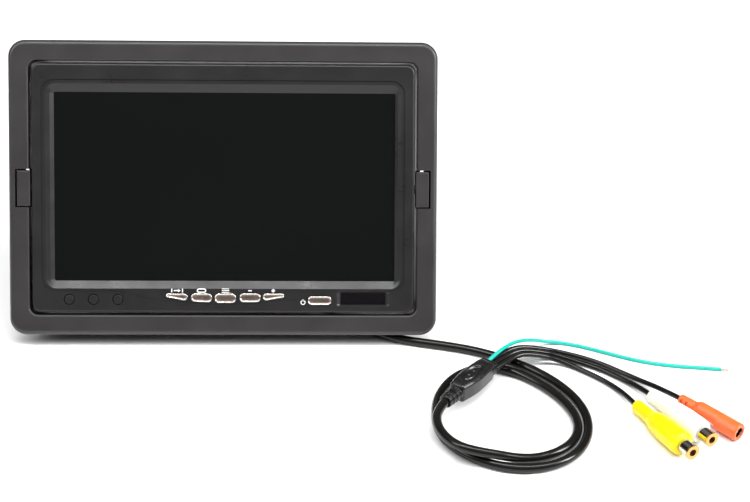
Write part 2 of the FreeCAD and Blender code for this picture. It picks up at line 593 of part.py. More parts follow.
def rca_parts(which):
    boot = turned([(0, 3.0), (0.8, 3.6), (2.4, 3.9), (13, 4.1), (16, 4.6), (18.5, 5.6), (22, 6.2),
                   (30, 6.8), (41, 7.0), (RCA_BOOT - 1.4, 6.8), (RCA_BOOT, 5.9)])
    hollow = Part.makeCylinder(3.9, 4.0, Vec(RCA_BOOT - 4, 0, 0), Vec(1, 0, 0))
    front = RCA_BOOT + RCA_SHELL
    shell = Part.makeCylinder(3.9, 4.0, Vec(RCA_BOOT - 4, 0, 0), Vec(1, 0, 0)).fuse(
        Part.makeCylinder(4.15, RCA_SHELL, Vec(RCA_BOOT, 0, 0), Vec(1, 0, 0)))
    shell = shell.cut(Part.makeCylinder(3.4, 15, Vec(RCA_BOOT - 3, 0, 0), Vec(1, 0, 0)))
    ring = Part.makeCylinder(4.15, RCA_RING, Vec(front, 0, 0), Vec(1, 0, 0))
    ring = ring.cut(Part.makeCylinder(2.1, 5, Vec(front - 1, 0, 0), Vec(1, 0, 0)))
    insulator = Part.makeCylinder(3.4, RCA_SHELL + 3, Vec(RCA_BOOT - 3, 0, 0), Vec(1, 0, 0))
    insulator = insulator.cut(Part.makeCylinder(1.95, 20, Vec(RCA_BOOT - 1, 0, 0), Vec(1, 0, 0)))
    contact = Part.makeCylinder(1.95, 5.5, Vec(RCA_BOOT - 1, 0, 0), Vec(1, 0, 0))
    contact = contact.cut(Part.makeCylinder(1.6, 5.0, Vec(RCA_BOOT - 0.2, 0, 0), Vec(1, 0, 0)))
    parts = {"boot": boot.cut(hollow), "shell": shell, "ring": ring,
             "insulator": insulator, "contact": contact}
    return {f"{which}_socket_{key}": socket_place(shape, which) for key, shape in parts.items()}


def power_parts():
    relief = turned([(0, 2.6), (0.8, 3.0), (9.6, 3.2), (11.0, 2.8), (14.0, 2.8)])
    grip = turned([(10.6, 2.6), (12.2, 3.4), (13.6, 4.0), (25.0, 4.2), (27.6, 4.2)])
    grip.translate(Vec(0, 0, 1.1))
    head = turned([(26.2, 4.2), (27.0, 5.1), (DC_LENGTH - 0.7, 5.2), (DC_LENGTH, 4.8)])
    boot = relief.fuse([grip, head])
    boot = boot.cut(Part.makeCylinder(3.3, 12, Vec(DC_LENGTH - 11, 0, 0), Vec(1, 0, 0)))
    slots = []
    for u in (1.8, 5.2):
        for side in (-1, 1):
            slots.append(Part.makeBox(1.4, 3.0, 8.0, Vec(u, side * 2.1 - (3.0 if side < 0 else 0), -4)))
    barrel = Part.makeCylinder(3.3, 10.4, Vec(DC_LENGTH - 11, 0, 0), Vec(1, 0, 0))
    barrel = barrel.cut(Part.makeCylinder(2.85, 12, Vec(DC_LENGTH - 10, 0, 0), Vec(1, 0, 0)))
    pin = Part.makeCylinder(1.05, 8.6, Vec(DC_LENGTH - 10, 0, 0), Vec(1, 0, 0))
    pin = pin.makeFillet(0.5, [e for e in pin.Edges if abs(e.BoundBox.XMin - DC_LENGTH + 1.4) < 1e-3])
    parts = {"boot": boot.cut(slots), "barrel": barrel, "pin": pin}
    return {f"power_socket_{key}": socket_place(shape, "power") for key, shape in parts.items()}


# ---------------------------------------------------------------- the whole part

def leaned(shape):
    shape = shape.copy()
    shape.rotate(Vec(0, 0, 0), Vec(1, 0, 0), -LEAN_DEG)
    return shape


def panel_nodes():
    clip = pivot_clip()
    nodes = {
        "surround_frame": surround_frame(),
        "pivot_clip_right": clip,
        "pivot_clip_left": mirrored(clip),
        "clip_screws": clip_screws(),
        "front_bezel": front_bezel(),
        "back_cover": back_cover(),
        "housing_screws": housing_screws(),
        "lcd_glass": plate(GLASS_W, GLASS_H, FRONT + 3.05, FRONT + 4.6),
        "lcd_diffuser": plate(202, 114, FRONT + 4.7, FRONT + 5.5),
        "light_guide": plate(202, 114, FRONT + 5.6, FRONT + 8.6),
        "backlight_strip": block(-97, 98, FRONT + 5.8, FRONT + 8.4, 58.1, 59.4),
        "lcd_chassis": lcd_chassis(),
        "board_standoffs": standoffs(),
        "main_board": main_board(),
        "board_components": board_components(),
        "board_screws": board_screws(),
        "inner_lead_plug": inner_lead_plug(),
        "display_ribbon": display_ribbon(),
        "key_board": key_board(),
        "key_board_screws": key_board_screws(),
        "key_switches": key_switches(),
        "ir_window": ir_window(),
        "ir_receiver": ir_receiver(),
        "blank_plugs": blank_plugs(),
        "lead_strain_relief": lead_strain_relief(),
    }
    for name, ends in BUTTONS.items():
        nodes[name] = button(ends)
    return {name: leaned(shape) for name, shape in nodes.items()}


def cord_nodes():
    gland_exit = lean_point(GLAND_X, GLAND_Y, GLAND_END - 0.4)
    nodes = {
        "lead_flex": tube("lead_flex", [gland_exit] + floor_points(FLEX_ROUTE + (FLEX_END,)), LEAD_R),
        "main_lead": tube("main_lead", floor_points(MAIN_ROUTE), LEAD_R),
        "lead_splitter": lead_splitter(),
    }
    branches = (("power", POWER_ROUTE, 3.2), ("white", WHITE_ROUTE, 0.0), ("yellow", YELLOW_ROUTE, -3.2))
    for which, route, across in branches:
        points = [split_point(SPLIT_NECK, across, -0.8)] + floor_points(route) + [tail_point(which)]
        nodes[f"{which}_lead"] = tube(f"{which}_lead", points, BRANCH_R)
    wire = [split_point(SPLIT_NECK, 1.6, 2.5)] + floor_points(WIRE_ROUTE + (WIRE_END,))
    nodes["trigger_wire"] = tube("trigger_wire", wire, WIRE_R)
    heading = (wire[-1] - wire[-2]).normalize()
    nodes["trigger_wire_tip"] = Part.makeCylinder(TIP_R, 4.0, wire[-1], heading)
    nodes.update(rca_parts("yellow"))
    nodes.update(rca_parts("white"))
    nodes.update(power_parts())
    return nodes


os.makedirs("parts", exist_ok=True)
for node, shape in {**panel_nodes(), **cord_nodes()}.items():
    shape.exportStep(f"parts/{node}.step")
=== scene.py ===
"""Flush-mount monitor in its surround, with its lead, splitter and sockets: the visual model.

Metres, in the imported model's frame: X to the screen's right, Y away from the viewer, Z up.
"""
import json
import math

import bmesh
import bpy
from mathutils import Matrix, Vector


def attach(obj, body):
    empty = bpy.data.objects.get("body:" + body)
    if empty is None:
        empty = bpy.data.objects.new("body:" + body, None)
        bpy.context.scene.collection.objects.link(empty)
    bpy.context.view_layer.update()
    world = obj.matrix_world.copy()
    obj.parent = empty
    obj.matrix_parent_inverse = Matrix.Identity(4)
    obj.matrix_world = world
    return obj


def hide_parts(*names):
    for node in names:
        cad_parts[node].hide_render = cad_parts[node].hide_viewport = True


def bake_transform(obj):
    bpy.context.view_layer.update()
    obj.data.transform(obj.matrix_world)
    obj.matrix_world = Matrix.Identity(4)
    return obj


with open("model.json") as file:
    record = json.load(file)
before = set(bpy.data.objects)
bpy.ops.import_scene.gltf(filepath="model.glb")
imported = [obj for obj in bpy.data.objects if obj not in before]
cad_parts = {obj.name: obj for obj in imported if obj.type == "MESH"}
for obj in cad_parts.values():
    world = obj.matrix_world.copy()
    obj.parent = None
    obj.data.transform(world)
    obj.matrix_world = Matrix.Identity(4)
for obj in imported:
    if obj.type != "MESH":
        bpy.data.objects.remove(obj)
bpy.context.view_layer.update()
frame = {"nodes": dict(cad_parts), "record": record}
nodes = frame["nodes"]

LEAN = math.radians(27.0)           # how far the panel leans back
RIM_LOW = 0.0766                    # from the panel's middle down to the rim's bottom corner
FLOOR = -RIM_LOW * math.cos(LEAN)   # the corner stands on the floor

LEAD_R, BRANCH_R, WIRE_R = 0.0026, 0.0015, 0.0011


def link(name, data):
    obj = bpy.data.objects.new(name, data)
    bpy.context.scene.collection.objects.link(obj)
    return obj


def panel(x, y, z):
    """A point given in the panel's own axes, upright, to the leaning panel."""
    return Vector((x, y * math.cos(LEAN) + z * math.sin(LEAN), -y * math.sin(LEAN) + z * math.cos(LEAN)))


# ---------------------------------------------------------------- camera

def place_camera():
    yaw, pitch, roll = math.radians(2.168), math.radians(30.701), math.radians(1.288)
    ahead = Vector((math.sin(yaw) * math.cos(pitch), math.cos(yaw) * math.cos(pitch), -math.sin(pitch)))
    flat = Vector((math.cos(yaw), -math.sin(yaw), 0.0))
    over = flat.cross(ahead)
    right = flat * math.cos(roll) + over * math.sin(roll)
    up = over * math.cos(roll) - flat * math.sin(roll)
    data = bpy.data.cameras.new("camera")
    data.lens = 81.153
    data.sensor_width = 36.0
    data.sensor_fit = "HORIZONTAL"
    data.clip_start = 0.02
    camera = link("camera", data)
    turn = Matrix((right, up, -ahead)).transposed().to_4x4()
    camera.matrix_world = Matrix.Translation((0.05635, -0.90318, 0.49192)) @ turn
    bpy.context.scene.camera = camera


place_camera()

# ---------------------------------------------------------------- cord routes
# (x, y, height above the floor)

LEAD_ROUTE = (
    (0.0566, -0.0289, 0.0242), (0.0600, -0.0352, 0.0130), (0.0670, -0.0425, 0.0056),
    (0.0795, -0.0528, 0.0026), (0.0915, -0.0613, 0.0026), (0.1050, -0.0678, 0.0026),
    (0.1210, -0.0718, 0.0026), (0.1365, -0.0756, 0.0026), (0.1505, -0.0805, 0.0026),
    (0.1623, -0.0868, 0.0026), (0.1732, -0.0936, 0.0026), (0.1842, -0.1029, 0.0026),
    (0.1940, -0.1146, 0.0026), (0.2012, -0.1276, 0.0026), (0.2050, -0.1410, 0.0026),
    (0.2051, -0.1550, 0.0026), (0.2015, -0.1679, 0.0026), (0.1947, -0.1789, 0.0026),
    (0.1846, -0.1869, 0.0026), (0.1723, -0.1910, 0.0026), (0.1585, -0.1908, 0.0026),
    (0.1452, -0.1860, 0.0026), (0.1333, -0.1776, 0.0026), (0.1248, -0.1666, 0.0026),
    (0.1210, -0.1538, 0.0026), (0.1210, -0.1404, 0.0026), (0.1227, -0.1276, 0.0026),
    (0.1276, -0.1154, 0.0026), (0.1352, -0.1048, 0.0026), (0.1464, -0.0976, 0.0026),
    (0.1594, -0.0969, 0.0026), (0.1709, -0.1024, 0.0026), (0.1810, -0.1114, 0.0026),
    (0.1894, -0.1218, 0.0026), (0.1956, -0.1332, 0.0026), (0.1992, -0.1454, 0.0026),
    (0.1988, -0.1580, 0.0026), (0.1936, -0.1694, 0.0026), (0.1840, -0.1778, 0.0026),
    (0.1732, -0.1822, 0.0026), (0.1622, -0.1847, 0.0046), (0.1514, -0.1861, 0.0080),
    (0.1408, -0.1856, 0.0098), (0.1310, -0.1812, 0.0098), (0.1240, -0.1724, 0.0096),
    (0.1202, -0.1618, 0.0098), (0.1207, -0.1510, 0.0107), (0.12595, -0.14217, 0.0110))

POWER_ROUTE = (
    (0.1562, -0.0998, 0.0103), (0.1614, -0.0944, 0.0104), (0.1668, -0.0896, 0.0104),
    (0.1732, -0.0862, 0.0098), (0.1814, -0.0836, 0.0076), (0.1902, -0.0812, 0.0046),
    (0.1996, -0.0808, 0.0022), (0.2100, -0.0846, 0.0015), (0.2205, -0.0908, 0.0015),
    (0.2310, -0.0996, 0.0015), (0.2414, -0.1099, 0.0024), (0.2506, -0.1206, 0.0046))
WHITE_ROUTE = (
    (0.1587, -0.1021, 0.0103), (0.1639, -0.0967, 0.0104), (0.1688, -0.0925, 0.0103),
    (0.1745, -0.0895, 0.0097), (0.1823, -0.0871, 0.0075), (0.1909, -0.0850, 0.0045),
    (0.2002, -0.0862, 0.0022), (0.2104, -0.0910, 0.0015), (0.2206, -0.0974, 0.0015),
    (0.2302, -0.1061, 0.0015), (0.2386, -0.1154, 0.0023))
YELLOW_ROUTE = (
    (0.1613, -0.1045, 0.0103), (0.1665, -0.0991, 0.0104), (0.1709, -0.0954, 0.0102),
    (0.1762, -0.0928, 0.0094), (0.1838, -0.0906, 0.0071), (0.1920, -0.0892, 0.0041),
    (0.2008, -0.0916, 0.0019), (0.2092, -0.0982, 0.0015), (0.2179, -0.1060, 0.0015),
    (0.2258, -0.1152, 0.0015), (0.2309, -0.1254, 0.0026))
WIRE_ROUTE = (
    (0.1572, -0.1004, 0.0141), (0.1622, -0.0942, 0.0142), (0.1684, -0.0869, 0.0132),
    (0.1752, -0.0800, 0.0104), (0.1820, -0.0742, 0.0068), (0.1894, -0.0698, 0.0030),
    (0.1986, -0.0682, 0.0011), (0.2106, -0.0720, 0.0011), (0.2230, -0.0779, 0.0011),
    (0.2360, -0.0844, 0.0011), (0.2505, -0.0901, 0.0011), (0.2660, -0.0932, 0.0011),
    (0.2800, -0.0948, 0.0011), (0.2905, -0.0962, 0.0011))

SPLIT = Vector((0.1412, -0.1230, FLOOR + 0.011))
SPLIT_HEADING = math.radians(51.5)
NECK = 0.0205


def on_floor(route):
    return [Vector((x, y, FLOOR + h)) for x, y, h in route]


def split_point(u, v, w):
    """Along the splitter, across it to its left, and up."""
    along = Vector((math.cos(SPLIT_HEADING), math.sin(SPLIT_HEADING), 0.0))
    left = Vector((-math.sin(SPLIT_HEADING), math.cos(SPLIT_HEADING), 0.0))
    return SPLIT + along * u + left * v + Vector((0.0, 0.0, w))


def tail(x, y, h):
    return Vector((x, y, FLOOR + h))


GLAND_EXIT = panel(0.056, -0.0054, -0.038)
LEAD = [GLAND_EXIT] + on_floor(LEAD_ROUTE)
POWER = [split_point(NECK, 0.0032, -0.0008)] + on_floor(POWER_ROUTE) + [tail(0.2593, -0.1330, 0.0066)]
WHITE = [split_point(NECK, 0.0, -0.0008)] + on_floor(WHITE_ROUTE) + [tail(0.2440, -0.1261, 0.0042)]
YELLOW = [split_point(NECK, -0.0032, -0.0008)] + on_floor(YELLOW_ROUTE) + [tail(0.2340, -0.1361, 0.0042)]
WIRE = [split_point(NECK, 0.0016, 0.0025)] + on_floor(WIRE_ROUTE)


def route_curve(name, points):
    data = bpy.data.curves.new(name, "CURVE")
    data.dimensions = "3D"
    data.resolution_u = 8
    spline = data.splines.new("NURBS")
    spline.points.add(len(points) - 1)
    for point, where in zip(spline.points, points):
        point.co = (where.x, where.y, where.z, 1.0)
    spline.order_u = 3
    spline.use_endpoint_u = True
    return link(name, data)


def route_line(points):
    """The NURBS spline's own points, read back from an unbevelled curve."""
    guide = route_curve("guide", points)
    bpy.context.view_layer.update()
    mesh = bpy.data.meshes.new_from_object(guide)
    line = [v.co.copy() for v in mesh.vertices]
    bpy.data.meshes.remove(mesh)
    bpy.data.objects.remove(guide)
    return line


def frames_along(line):
    """A tangent and two turning-free sides at each point of a line."""
    tangents = []
    for i in range(len(line)):
        a, b = line[max(i - 1, 0)], line[min(i + 1, len(line) - 1)]
        tangents.append((b - a).normalized())
    side = tangents[0].orthogonal().normalized()
    out = []
    for i, t in enumerate(tangents):
        side = (side - t * side.dot(t)).normalized()
        out.append((line[i], t, side, t.cross(side)))
    return out


def tube_mesh(name, line, radius, around=28):
    bm = bmesh.new()
    rings = []
    for where, _, side, other in frames_along(line):
        ring = []
        for k in range(around):
            a = 2 * math.pi * k / around
            ring.append(bm.verts.new(where + (side * math.cos(a) + other * math.sin(a)) * radius))
        rings.append(ring)
    for first, second in zip(rings, rings[1:]):
        for k in range(around):
            j = (k + 1) % around
            bm.faces.new((first[k], first[j], second[j], second[k]))
    bm.faces.new(list(reversed(rings[0])))
    bm.faces.new(rings[-1])
    return finished(name, bm)


def finished(name, bm, smooth=True, angle=40.0):
    """The mesh object of a bmesh, its faces turned outwards and smooth but for its sharp edges."""
    bmesh.ops.recalc_face_normals(bm, faces=bm.faces)
    if smooth:
        for face in bm.faces:
            face.smooth = True
        for edge in bm.edges:
            if len(edge.link_faces) == 2 and edge.calc_face_angle(0.0) > math.radians(angle):
                edge.smooth = False
    mesh = bpy.data.meshes.new(name)
    bm.to_mesh(mesh)
    bm.free()
    return link(name, mesh)


lead_line = route_line(LEAD)
lead = tube_mesh("lead_cord", lead_line, LEAD_R)
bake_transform(lead)
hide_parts("lead_flex", "main_lead")

branches = {}
for which, points in (("power", POWER), ("white", WHITE), ("yellow", YELLOW)):
    line = route_line(points)
    cord = tube_mesh(f"{which}_branch", line, BRANCH_R, 20)
    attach(cord, "surround")
    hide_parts(f"{which}_lead")
    branches[which] = (cord, line)
wire_line = route_line(WIRE)
wire = tube_mesh("wire_cord", wire_line, WIRE_R, 16)
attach(wire, "surround")
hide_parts("trigger_wire")

# ---------------------------------------------------------------- materials


def build_material(name, colour, rough=0.4, metallic=0.0, grain=None, mottle=None, coat=0.0, spec=0.5):
    """A node material. grain: (scale, height, detail) for bump; mottle: (scale, amount) for roughness."""
    mat = bpy.data.materials.new(name)
    mat.use_nodes = True
    tree = mat.node_tree
    shader = tree.nodes["Principled BSDF"]
    shader.inputs["Base Color"].default_value = (*colour, 1.0)
    shader.inputs["Roughness"].default_value = rough
    shader.inputs["Metallic"].default_value = metallic
    shader.inputs["Coat Weight"].default_value = coat
    shader.inputs["Specular IOR Level"].default_value = spec
    place = tree.nodes.new("ShaderNodeTexCoord")
    if mottle:
        noise = tree.nodes.new("ShaderNodeTexNoise")
        noise.inputs["Scale"].default_value = mottle[0]
        noise.inputs["Detail"].default_value = 3.0
        ramp = tree.nodes.new("ShaderNodeMapRange")
        ramp.inputs["From Min"].default_value = 0.3
        ramp.inputs["From Max"].default_value = 0.7
        ramp.inputs["To Min"].default_value = max(rough - mottle[1], 0.02)
        ramp.inputs["To Max"].default_value = min(rough + mottle[1], 1.0)
        tree.links.new(place.outputs["Object"], noise.inputs["Vector"])
        tree.links.new(noise.outputs["Fac"], ramp.inputs["Value"])
        tree.links.new(ramp.outputs["Result"], shader.inputs["Roughness"])
        tint = tree.nodes.new("ShaderNodeMix")
        tint.data_type = "RGBA"
        tint.inputs["A"].default_value = (*[c * 0.9 for c in colour], 1.0)
        tint.inputs["B"].default_value = (*[min(c * 1.1, 1.0) for c in colour], 1.0)
        tree.links.new(noise.outputs["Fac"], tint.inputs["Factor"])
        tree.links.new(tint.outputs["Result"], shader.inputs["Base Color"])
    if grain:
        fine = tree.nodes.new("ShaderNodeTexNoise")
        fine.inputs["Scale"].default_value = grain[0]
        fine.inputs["Detail"].default_value = grain[2]
        bump = tree.nodes.new("ShaderNodeBump")
        bump.inputs["Strength"].default_value = 1.0
        bump.inputs["Distance"].default_value = grain[1]
        tree.links.new(place.outputs["Object"], fine.inputs["Vector"])
        tree.links.new(fine.outputs["Fac"], bump.inputs["Height"])
        tree.links.new(bump.outputs["Normal"], shader.inputs["Normal"])
    return mat


MATERIALS = {
    "surround_black": dict(colour=(0.031, 0.029, 0.030), rough=0.36, grain=(1900, 0.00004, 2),
                           mottle=(45, 0.07), spec=0.42),
    "bezel_black": dict(colour=(0.017, 0.016, 0.0165), rough=0.33, grain=(2600, 0.00005, 2),
                        mottle=(55, 0.07), spec=0.36),
    "cover_black": dict(colour=(0.024, 0.023, 0.025), rough=0.5, grain=(1500, 0.00008, 2),
                        mottle=(70, 0.06)),
    "screw_black": dict(colour=(0.05, 0.05, 0.05), rough=0.35, metallic=0.8, grain=(900, 0.00002, 2)),
    "screw_zinc": dict(colour=(0.6, 0.6, 0.58), rough=0.3, metallic=1.0, mottle=(300, 0.08)),
    "screen_glass": dict(colour=(0.0050, 0.0058, 0.0056), rough=0.12, mottle=(9, 0.025), spec=0.28),
    "diffuser_white": dict(colour=(0.8, 0.8, 0.79), rough=0.6, mottle=(200, 0.05)),
    "light_guide_clear": dict(colour=(0.75, 0.78, 0.78), rough=0.15, mottle=(200, 0.03)),
    "chassis_steel": dict(colour=(0.5, 0.5, 0.51), rough=0.35, metallic=1.0, mottle=(120, 0.08)),
    "board_green": dict(colour=(0.02, 0.12, 0.05), rough=0.35, mottle=(400, 0.08)),
    "component_black": dict(colour=(0.02, 0.02, 0.02), rough=0.45, grain=(2000, 0.00003, 2)),
    "plug_white": dict(colour=(0.75, 0.74, 0.68), rough=0.35, mottle=(200, 0.06)),
    "legend_white": dict(colour=(0.95, 0.95, 0.94), rough=0.5, mottle=(900, 0.05)),
    "ribbon_amber": dict(colour=(0.4, 0.2, 0.04), rough=0.25, mottle=(200, 0.06)),
    "button_chrome": dict(colour=(0.92, 0.90, 0.88), rough=0.22, metallic=1.0, mottle=(500, 0.03)),
    # Button dish: the same chrome as the rim, painted darker and browner, a painted reflection of the dark
    # surroundings it mirrors.
    "button_dish_painted_reflection": dict(colour=(0.46, 0.37, 0.32), rough=0.34, metallic=1.0, mottle=(500, 0.04)),
    "ir_black": dict(colour=(0.006, 0.005, 0.006), rough=0.08, mottle=(120, 0.03)),
    "relief_rubber": dict(colour=(0.018, 0.018, 0.018), rough=0.5, grain=(1500, 0.00004, 2)),
    "cord_black": dict(colour=(0.007, 0.0065, 0.006), rough=0.17, grain=(500, 0.000012, 2),
                       mottle=(140, 0.04), spec=0.30),
    "splitter_black": dict(colour=(0.010, 0.0095, 0.0095), rough=0.23, grain=(1100, 0.00002, 2),
                           mottle=(160, 0.05), spec=0.38),
    "wire_teal": dict(colour=(0.002, 0.46, 0.37), rough=0.3, mottle=(150, 0.05)),
    "copper_tinned": dict(colour=(0.7, 0.62, 0.5), rough=0.3, metallic=1.0, grain=(2500, 0.00008, 2)),
    "boot_yellow": dict(colour=(0.95, 0.72, 0.0), rough=0.34, grain=(900, 0.00003, 2), mottle=(120, 0.05)),
    "boot_white": dict(colour=(0.88, 0.88, 0.87), rough=0.34, grain=(900, 0.00003, 2), mottle=(120, 0.05)),
    "boot_orange": dict(colour=(0.82, 0.125, 0.022), rough=0.36, grain=(900, 0.00003, 2),
                        mottle=(120, 0.05)),
    "nickel": dict(colour=(0.62, 0.60, 0.56), rough=0.13, metallic=1.0, mottle=(300, 0.04)),
    "gold": dict(colour=(0.70, 0.38, 0.13), rough=0.28, metallic=1.0, mottle=(300, 0.05)),
    # Socket contacts: bronze metal darkened to near black, painted shade standing in for the dark depth of
    # the socket bore.
    "contact_painted_shade": dict(colour=(0.10, 0.055, 0.025), rough=0.4, metallic=1.0, mottle=(600, 0.06)),
    "insulator_brown": dict(colour=(0.11, 0.058, 0.028), rough=0.5, mottle=(300, 0.05)),
    "insulator_white": dict(colour=(0.75, 0.72, 0.66), rough=0.45, mottle=(300, 0.05)),
}
made = {name: build_material(name, **facts) for name, facts in MATERIALS.items()}


def dress(obj, name):
    obj.data.materials.clear()
    obj.data.materials.append(made[name])


for part in frame["record"]["subparts"]:
    dress(nodes[part["node"]], part["material_slot"])
dress(lead, "cord_black")
for cord, _ in branches.values():
    dress(cord, "cord_black")
dress(wire, "wire_teal")
# The socket contacts take the darkened bronze, painted shade for the deep bores; the insulators take their
# own brown.
for which in ("white", "yellow"):
    dress(nodes[f"{which}_socket_contact"], "contact_painted_shade")
    dress(nodes[f"{which}_socket_insulator"], "insulator_brown")

# ---------------------------------------------------------------- buttons and legends

FRONT = -0.0380                     # the bezel's face, in the panel's own axes
BUTTON_TOP = FRONT - 0.0006
BUTTONS = {
    # two circles, x, z, radius, whose hull is the button's outline
    "source_button": ((-0.0327, -0.0625, 0.0011), (-0.0232, -0.0634, 0.00195)),
    "flip_button": ((-0.0167, -0.0637, 0.00245), (-0.0093, -0.0639, 0.0026)),
    "menu_button": ((-0.0026, -0.0641, 0.00275), (0.0046, -0.0641, 0.00275)),
    "minus_button": ((0.0118, -0.0638, 0.0026), (0.0191, -0.0638, 0.00255)),
    "plus_button": ((0.0249, -0.0633, 0.00195), (0.0343, -0.0625, 0.00115)),
    "power_button": ((0.0517, -0.0654, 0.0025), (0.0607, -0.0654, 0.0025)),
}
# how far in from the outline, and how deep from the top: side, rolled rim, dish
BUTTON_PROFILE = (
    (0.0, 0.0034), (0.0, 0.00034), (0.00004, 0.0002), (0.00012, 0.00008), (0.00024, 0.00001),
    (0.00036, 0.00001), (0.00048, 0.00007), (0.0006, 0.00019), (0.00072, 0.00033), (0.00086, 0.00042),
    (0.00102, 0.00046))
RIM_RINGS = 6


def pill_outline(ends, inset, steps=20):
    """Hull of two circles, moved in by inset, as (x, z) points."""
    (x0, z0, r0), (x1, z1, r1) = ends
    heading = math.atan2(z1 - z0, x1 - x0)
    spread = math.acos((r0 - r1) / math.hypot(x1 - x0, z1 - z0))
    points = []
    for (x, z, r), start, sweep in ((ends[1], -spread, 2 * spread),
                                    (ends[0], spread, 2 * (math.pi - spread))):
        for k in range(steps + 1):
            a = heading + start + sweep * k / steps
            points.append((x + (r - inset) * math.cos(a), z + (r - inset) * math.sin(a)))
    return points


def bridge(bm, first, second):
    faces = []
    for k in range(len(first)):
        j = (k + 1) % len(first)
        faces.append(bm.faces.new((first[k], first[j], second[j], second[k])))
    return faces


def press_button(node, ends):
    bm = bmesh.new()
    rings = []
    for inset, depth in BUTTON_PROFILE:
        outline = pill_outline(ends, inset)
        rings.append([bm.verts.new(panel(x, BUTTON_TOP + depth, z)) for x, z in outline])
    # Dish rings take material 1, the darker copy of the chrome: painted reflection.
    for i, (first, second) in enumerate(zip(rings, rings[1:])):
        for face in bridge(bm, first, second):
            face.material_index = 1 if i >= RIM_RINGS else 0
    bm.faces.new(rings[0])
    bm.faces.new(rings[-1]).material_index = 1
    cap = finished(f"{node}_cap", bm, angle=60.0)
    cap.data.materials.append(made["button_chrome"])
    cap.data.materials.append(made["button_dish_painted_reflection"])
    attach(cap, node)
    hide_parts(node)


for node, ends in BUTTONS.items():
    press_button(node, ends)

INK = 0.00006                   # height of the printed legends


def ink_prism(bm, outline, y):
    low = [bm.verts.new(panel(x, y + INK, z)) for x, z in outline]
    top = [bm.verts.new(panel(x, y - INK, z)) for x, z in outline]
    bridge(bm, low, top)
    bm.faces.new(low)
    bm.faces.new(top)


def ink_bar(bm, x, z, width, height, y):
    a, b = width / 2, height / 2
    ink_prism(bm, [(x - a, z - b), (x + a, z - b), (x + a, z + b), (x - a, z + b)], y)


def ink_ring(bm, outer, inner, y):
    rings = [[bm.verts.new(panel(x, y + s * INK, z)) for x, z in loop]
             for loop, s in ((outer, 1), (outer, -1), (inner, -1), (inner, 1))]
    for first, second in zip(rings, rings[1:] + rings[:1]):
        bridge(bm, first, second)


def ink_arc(bm, x, z, radius, line, start, sweep, y):
    outline = []
    for r in (radius + line / 2, radius - line / 2):
        turn = [start + sweep * k / 24 for k in range(25)]
        if r < radius:
            turn.reverse()
        outline += [(x + r * math.cos(a), z + r * math.sin(a)) for a in turn]
    ink_prism(bm, outline, y)


def legends():
    dip = FRONT + 0.0003
    line = 0.00058
    z = -0.0597
    icons = {}
    bm = icons["source"] = bmesh.new()
    ink_bar(bm, -0.0279, z, 0.0026, line, dip)
    ink_prism(bm, [(-0.0267, z - 0.0009), (-0.0252, z), (-0.0267, z + 0.0009)], dip)
    ink_bar(bm, -0.0241, z, line, 0.0022, dip)
    ink_bar(bm, -0.0304, z, line, 0.0022, dip)
    bm = icons["flip"] = bmesh.new()
    ends = ((-0.0145, z, 0.00125), (-0.0115, z, 0.00125))
    ink_ring(bm, pill_outline(ends, 0.0), pill_outline(ends, line), dip)
    bm = icons["menu"] = bmesh.new()
    for k in (-1, 0, 1):
        ink_bar(bm, 0.001, z + k * 0.00105, 0.0044, 0.00036, dip)
    bm = icons["minus"] = bmesh.new()
    ink_bar(bm, 0.0154, z, 0.0021, line, dip)
    bm = icons["plus"] = bmesh.new()
    ink_bar(bm, 0.029, z, 0.0022, line, dip)
    ink_bar(bm, 0.029, z + 0.0007, line, 0.0009, dip)
    ink_bar(bm, 0.029, z - 0.0007, line, 0.0009, dip)
    bm = icons["power"] = bmesh.new()
    ink_arc(bm, 0.0465, -0.0665, 0.0012, 0.00042, math.radians(125), math.radians(290), FRONT)
    ink_bar(bm, 0.0465, -0.0653, 0.00042, 0.0013, FRONT)
    for name, bm in icons.items():
        legend = finished(f"{name}_legend", bm, smooth=False)
        legend.data.materials.append(made["legend_white"])
        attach(legend, "monitor")


legends()

# ---------------------------------------------------------------- splitter


def ease(value, low, high):
    t = min(max((value - low) / (high - low), 0.0), 1.0)
    return t * t * (3 - 2 * t)


def ring_section(width, low, high, corner, count):
    """Rounded rectangle of half width, from low to high, as (v, w) points evenly along each side."""
    corner = min(corner, width * 0.98, (high - low) / 2 * 0.98)
    points = []
    corners = ((width - corner, low + corner, -90), (width - corner, high - corner, 0),
               (-width + corner, high - corner, 90), (-width + corner, low + corner, 180))
    for i, (v, w, start) in enumerate(corners):
        for k in range(9):
            a = math.radians(start + 90 * k / 8)
            points.append((v + corner * math.cos(a), w + corner * math.sin(a)))
        v1, w1, start1 = corners[(i + 1) % 4]
        a1 = math.radians(start1)
        end = (v1 + corner * math.cos(a1), w1 + corner * math.sin(a1))
        here = points[-1]
        for k in range(1, count):
            t = k / count
            points.append((here[0] + (end[0] - here[0]) * t, here[1] + (end[1] - here[1]) * t))
    return points


def loft(bm, sections, relief=None):
    """Closed shell over sections of (u, points); relief moves each point's height."""
    rings = []
    for u, points in sections:
        ring = []
        for v, w in points:
            if relief:
                w += relief(u, v, w)
            ring.append(bm.verts.new(split_point(u / 1000, v / 1000, w / 1000)))
        rings.append(ring)
    for first, second in zip(rings, rings[1:]):
        bridge(bm, first, second)
    bm.faces.new(rings[0])
    bm.faces.new(rings[-1])


SPLIT_HALF = ((-13.6, 4.7), (-5.0, 6.2), (1.0, 6.6), (7.0, 6.3), (15.4, 5.6), (17.6, 4.6))
SPLIT_DEEP = 5.3


def split_half(u):
    """Half width of the splitter's body, its outline's corners eased."""
    def plain(x):
        x = min(max(x, SPLIT_HALF[0][0]), SPLIT_HALF[-1][0])
        for (x0, y0), (x1, y1) in zip(SPLIT_HALF, SPLIT_HALF[1:]):
            if x <= x1:
                return y0 + (y1 - y0) * (x - x0) / (x1 - x0)
    return sum(plain(u + d) for d in (-1.6, -0.8, 0.0, 0.8, 1.6)) / 5


